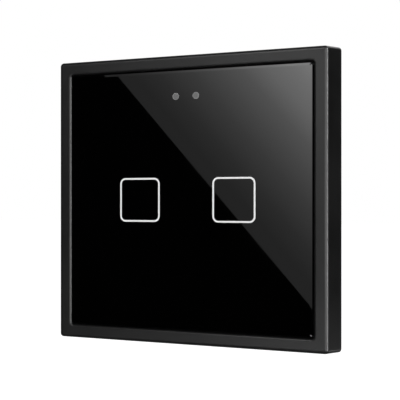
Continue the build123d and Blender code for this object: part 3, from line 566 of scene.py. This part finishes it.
def add_box_ribs(material):
    """Stiffening ribs moulded on both side walls of the rear box."""
    vertices = frame["nodes"]["rear_box"].data.vertices
    behind_flange = [vertex.co.x for vertex in vertices if vertex.co.y > rib_from_y]
    mesh = bmesh.new()
    for wall, way in ((max(behind_flange), 1), (min(behind_flange), -1)):
        for z in rib_heights:
            plane = facing((0, way, 0), (0, 0, 1), (wall, rib_centre_y, z))
            raised(mesh, plane, rib_size, rib_corner, rib_height, rib_edge, rib_draft)
    add_piece("box_side_ribs", mesh, material)


def add_label(box_material, foil):
    """A blank foil label on the back, in a moulded line that frames it."""
    _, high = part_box("rear_box")
    plane = facing((-1, 0, 0), (0, 0, 1), (0, high.y, label_centre_z))
    mesh = bmesh.new()
    raised(mesh, plane, label_size, label_corner, label_thickness, label_edge)
    add_piece("blank_label", mesh, foil)
    inner = grown(label_size, label_border)
    outer = grown(inner, frame_line)
    profile = (
        (outer, -sink),
        (outer, frame_line_shoulder),
        (grown(outer, -frame_line_edge), frame_line_height),
        (grown(inner, frame_line_edge), frame_line_height),
        (inner, frame_line_shoulder),
        (inner, -sink),
    )
    mesh = bmesh.new()
    rings = []
    for size, level in profile:
        corner = label_corner + (size[0] - label_size[0]) / 2
        rings.append(add_ring(mesh, plane, size, corner, level))
    join_rings(mesh, rings + rings[:1])
    add_piece("label_frame", mesh, box_material)


def add_terminal_fences(material):
    """Low fences between the terminals, on the back of the terminal block."""
    low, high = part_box("terminal_block")
    first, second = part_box("terminal_screw_1"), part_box("terminal_screw_2")
    pitch = abs((second[0].x + second[1].x) - (first[0].x + first[1].x)) / 2
    mesh = bmesh.new()
    for number in range(fence_count):
        x = (number - (fence_count - 1) / 2) * pitch
        plane = facing((-1, 0, 0), (0, 0, 1), (x, high.y, (low.z + high.z) / 2))
        raised(mesh, plane, fence_size, fence_corner, fence_height, fence_edge, fence_draft)
    add_piece("terminal_fences", mesh, material)


def foil_label():
    """Brushed silver foil with a thin printed border and faint creases."""
    look = Shader("silver_foil")
    x, _, z = look.axes()
    across = look.math("SUBTRACT", label_size[0] / 2, look.math("ABSOLUTE", x))
    along = look.math("ABSOLUTE", look.math("SUBTRACT", z, label_centre_z))
    along = look.math("SUBTRACT", label_size[1] / 2, along)
    inset = look.math("MINIMUM", across, along)
    inside = look.math("GREATER_THAN", inset, label_print[0])
    line = look.math("MULTIPLY", inside, look.math("LESS_THAN", inset, label_print[1]))
    brushed = look.noise(0.2 * mm, 3.0, (0.05, 1.0, 1.0))
    creases = look.bump(look.noise(7 * mm, 2.0), 0.05 * mm)
    silver = look.mix(brushed, grey(0.52), grey(0.62))
    base = look.mix(line, silver, grey(0.03))
    rough = look.spread(brushed, 0.36, 0.48)
    return look.surface(Base_Color=base, Metallic=0.75, Roughness=rough, Normal=creases)


def add_details(materials):
    """The four pieces that this script adds to the rear box."""
    add_box_ribs(materials["box_plastic"])
    add_label(materials["box_plastic"], foil_label())
    add_terminal_fences(materials["terminal_plastic"])


def sheet(name, corners, material):
    """A flat sheet with four corners."""
    mesh = bpy.data.meshes.new(name)
    mesh.from_pydata(corners, [], [(0, 1, 2, 3)])
    mesh.materials.append(material)
    made = bpy.data.objects.new(name, mesh)
    bpy.context.scene.collection.objects.link(made)
    return made


def card(name, corners, material):
    """A flat card of the studio that only glossy rays meet."""
    made = sheet(name, corners, material)
    for kind in ("camera", "diffuse", "transmission", "volume_scatter", "shadow"):
        setattr(made, f"visible_{kind}", False)


def glow_material(name, shift=(0.0, 0.0), share=1.0, fades=()):
    """A soft box behind a straight flag: dark below a slanted line, then brighter away from it."""
    look = Shader(name)
    axes = look.axes()
    across = -math.sin(glow_line_angle)
    upward = math.cos(glow_line_angle)
    away = look.math("ADD", look.math("MULTIPLY", axes[0], across), look.math("MULTIPLY", axes[2], upward))
    away = look.math("SUBTRACT", away, shift[0] * across + (shift[1] + glow_line_height) * upward)
    level = look.steps(away, [(distance, share * level) for distance, level in glow_steps])
    for way, fade in fades:
        level = look.math("MULTIPLY", level, look.ramp(axes[way], *fade, 1.0, 0.0))
    return look.glow(look.math("MULTIPLY", level, look.math("GREATER_THAN", away, 0.0)))


def wall_material():
    """A glow that changes slowly round the curved wall, by the azimuth from the plate's front."""
    look = Shader("side_wall")
    x, y, z = look.axes()
    turned = look.math("ARCTAN2", x, look.math("MULTIPLY", y, -1.0))
    level = look.steps(turned, [(math.radians(azimuth), level) for azimuth, level in wall_steps])
    return look.glow(look.math("MULTIPLY", level, look.ramp(z, *wall_fade_low, 0.0, 1.0)))


def soft_glow(name, level, edges):
    """An even glow that falls off softly towards the card's edges, along x and upward."""
    look = Shader(name)
    across, _, upward = look.axes("Generated")
    for share, edge in zip((across, upward), edges):
        inner = look.math("MINIMUM", share, look.math("SUBTRACT", 1.0, share))
        level = look.math("MULTIPLY", level, look.ramp(inner, 0.0, edge, 0.0, 1.0))
    return look.glow(level)


def front_area(area, y):
    """Corners of a card that faces the plate."""
    left, right, low, high = area
    return [(left, y, low), (right, y, low), (right, y, high), (left, y, high)]


def level_area(area, z):
    """Corners of a level card."""
    left, right, front, back = area
    return [(left, front, z), (right, front, z), (right, back, z), (left, back, z)]


def upright(first, second, low, high):
    """Corners of an upright card between two places on the floor plan."""
    return [(*first, low), (*second, low), (*second, high), (*first, high)]


def round_place(azimuth, distance):
    """A place on the floor plan, at an azimuth from the plate's front towards its right."""
    angle = math.radians(azimuth)
    return (math.sin(angle) * distance, -math.cos(angle) * distance)


def make_cards():
    """The cards that the glossy surfaces mirror, and the dark flags round them."""
    fades = ((0, glow_fade_right), (2, glow_fade_up))
    card("graded_card", front_area(glow_area, card_plane), glow_material("graded_card", fades=fades))
    for name, (area, shift, share, fades) in edge_strips.items():
        card(name, front_area(area, card_plane), glow_material(name, shift, share, fades))
    for name, (area, level, edges) in soft_cards.items():
        card(name, front_area(area, card_plane), soft_glow(name, level, edges))
    glow = wall_material()
    for number, ((start, _), (end, _)) in enumerate(zip(wall_steps, wall_steps[1:])):
        ends = [round_place(azimuth, wall_distance) for azimuth in (start, end)]
        card(f"side_wall_{number}", upright(*ends, *wall_height), glow)
    dark = Shader("dark_flag").glow(0.0)
    low = flag_lift - floor_drop
    card("front_flag", front_area((-flag_reach, flag_side, low, flag_top), flag_front), dark)
    places = [round_place(azimuth, flag_arc_distance) for azimuth in range(*flag_arc)]
    for number, (first, second) in enumerate(zip(places, places[1:])):
        card(f"arc_flag_{number}", upright(first, second, low, flag_top), dark)
    grey_glow = soft_glow("right_gap_glow", flag_gap_glow, firm_edges)
    sides = (
        ("right_gap", flag_side, flag_gap, grey_glow),
        ("right_flag", flag_side, (flag_gap[1], flag_back), dark),
        ("left_flag", -flag_side, (flag_front, flag_left_back), dark),
    )
    for name, x, (front, back), material in sides:
        card(name, upright((x, front), (x, back), low, flag_top), material)
    levels = (
        ("top_flag", (-flag_reach, flag_reach, flag_front, flag_top_back), flag_top),
        ("low_flag", (-flag_reach, flag_reach, flag_front, flag_low_back), low),
        ("low_side_flag", (flag_low_side[0], flag_side, flag_low_back, flag_low_side[1]), low),
    )
    for name, area, z in levels:
        card(name, level_area(area, z), dark)


def make_world():
    """White where the camera, gloss and glass look past the object, soft grey for the rest."""
    world = bpy.data.worlds.new("studio")
    bpy.context.scene.world = world
    world.use_nodes = True
    nodes = Nodes(world.node_tree)
    room = nodes.node("ShaderNodeBackground")
    room.inputs["Strength"].default_value = ambient
    white = nodes.node("ShaderNodeBackground")
    for shade in (room, white):
        shade.inputs["Color"].default_value = grey(1.0)
    shown = nodes.blend(nodes.seen(), room.outputs[0], white.outputs[0])
    nodes.link(shown, nodes.node("ShaderNodeOutputWorld").inputs[0])


def make_floor():
    """A wide pale floor under the object; it takes the object's shadow, and is clear from below."""
    look = Shader("pale_floor")
    cloud = look.noise(floor_patch, 2.0)
    paint = look.node("ShaderNodeBsdfDiffuse")
    shade = look.mix(cloud, grey(floor_shade), grey(floor_shade * floor_patch_share))
    look.link(shade, paint.inputs["Color"])
    glow = look.node("ShaderNodeEmission")
    distance = look.node("ShaderNodeVectorMath", operation="LENGTH")
    look.link(look.place(), distance.inputs[0])
    level = look.ramp(distance.outputs[1], floor_glow_from, floor_glow_to, floor_glow_near, floor_glow_far)
    look.feed(glow.inputs["Strength"], look.math("MULTIPLY", look.seen(), level))
    both = look.node("ShaderNodeAddShader")
    look.link(paint.outputs[0], both.inputs[0])
    look.link(glow.outputs[0], both.inputs[1])
    clear = look.node("ShaderNodeBsdfTransparent")
    below = look.node("ShaderNodeNewGeometry").outputs["Backfacing"]
    look.link(look.blend(below, both.outputs[0], clear.outputs[0]), look.output.inputs[0])
    area = (-floor_reach, floor_reach, -floor_reach, floor_reach)
    floor = sheet("floor", level_area(area, -floor_drop), look.material)


def soft_light(name, place, size, power):
    """A square soft light aimed at the object. It lights matt surfaces; gloss shows the cards."""
    data = bpy.data.lights.new(name, "AREA")
    data.size = size
    data.energy = power
    lamp = bpy.data.objects.new(name, data)
    lamp.location = place
    lamp.rotation_mode = "QUATERNION"
    lamp.rotation_quaternion = place.to_track_quat("Z", "Y")
    lamp.visible_glossy = False
    lamp.visible_camera = False
    bpy.context.scene.collection.objects.link(lamp)


def make_camera():
    """The camera that matches the photograph."""
    data = bpy.data.cameras.new("camera")
    data.sensor_width = sensor_width
    data.lens = focal_pixels / image_width * sensor_width
    data.clip_start = clip_near
    data.clip_end = clip_far
    camera = bpy.data.objects.new("camera", data)
    camera.location = camera_place
    camera.rotation_euler = (math.pi / 2, 0, camera_yaw)
    bpy.context.scene.collection.objects.link(camera)
    bpy.context.scene.camera = camera


bpy.context.scene.view_settings.view_transform = "Standard"
make_world()
make_floor()
make_cards()
soft_light("key_light", key_place, key_size, key_power)
soft_light("back_light", back_place, back_size, back_power)
make_camera()
finishes = make_materials()
dress_nodes(finishes)
add_details(finishes)
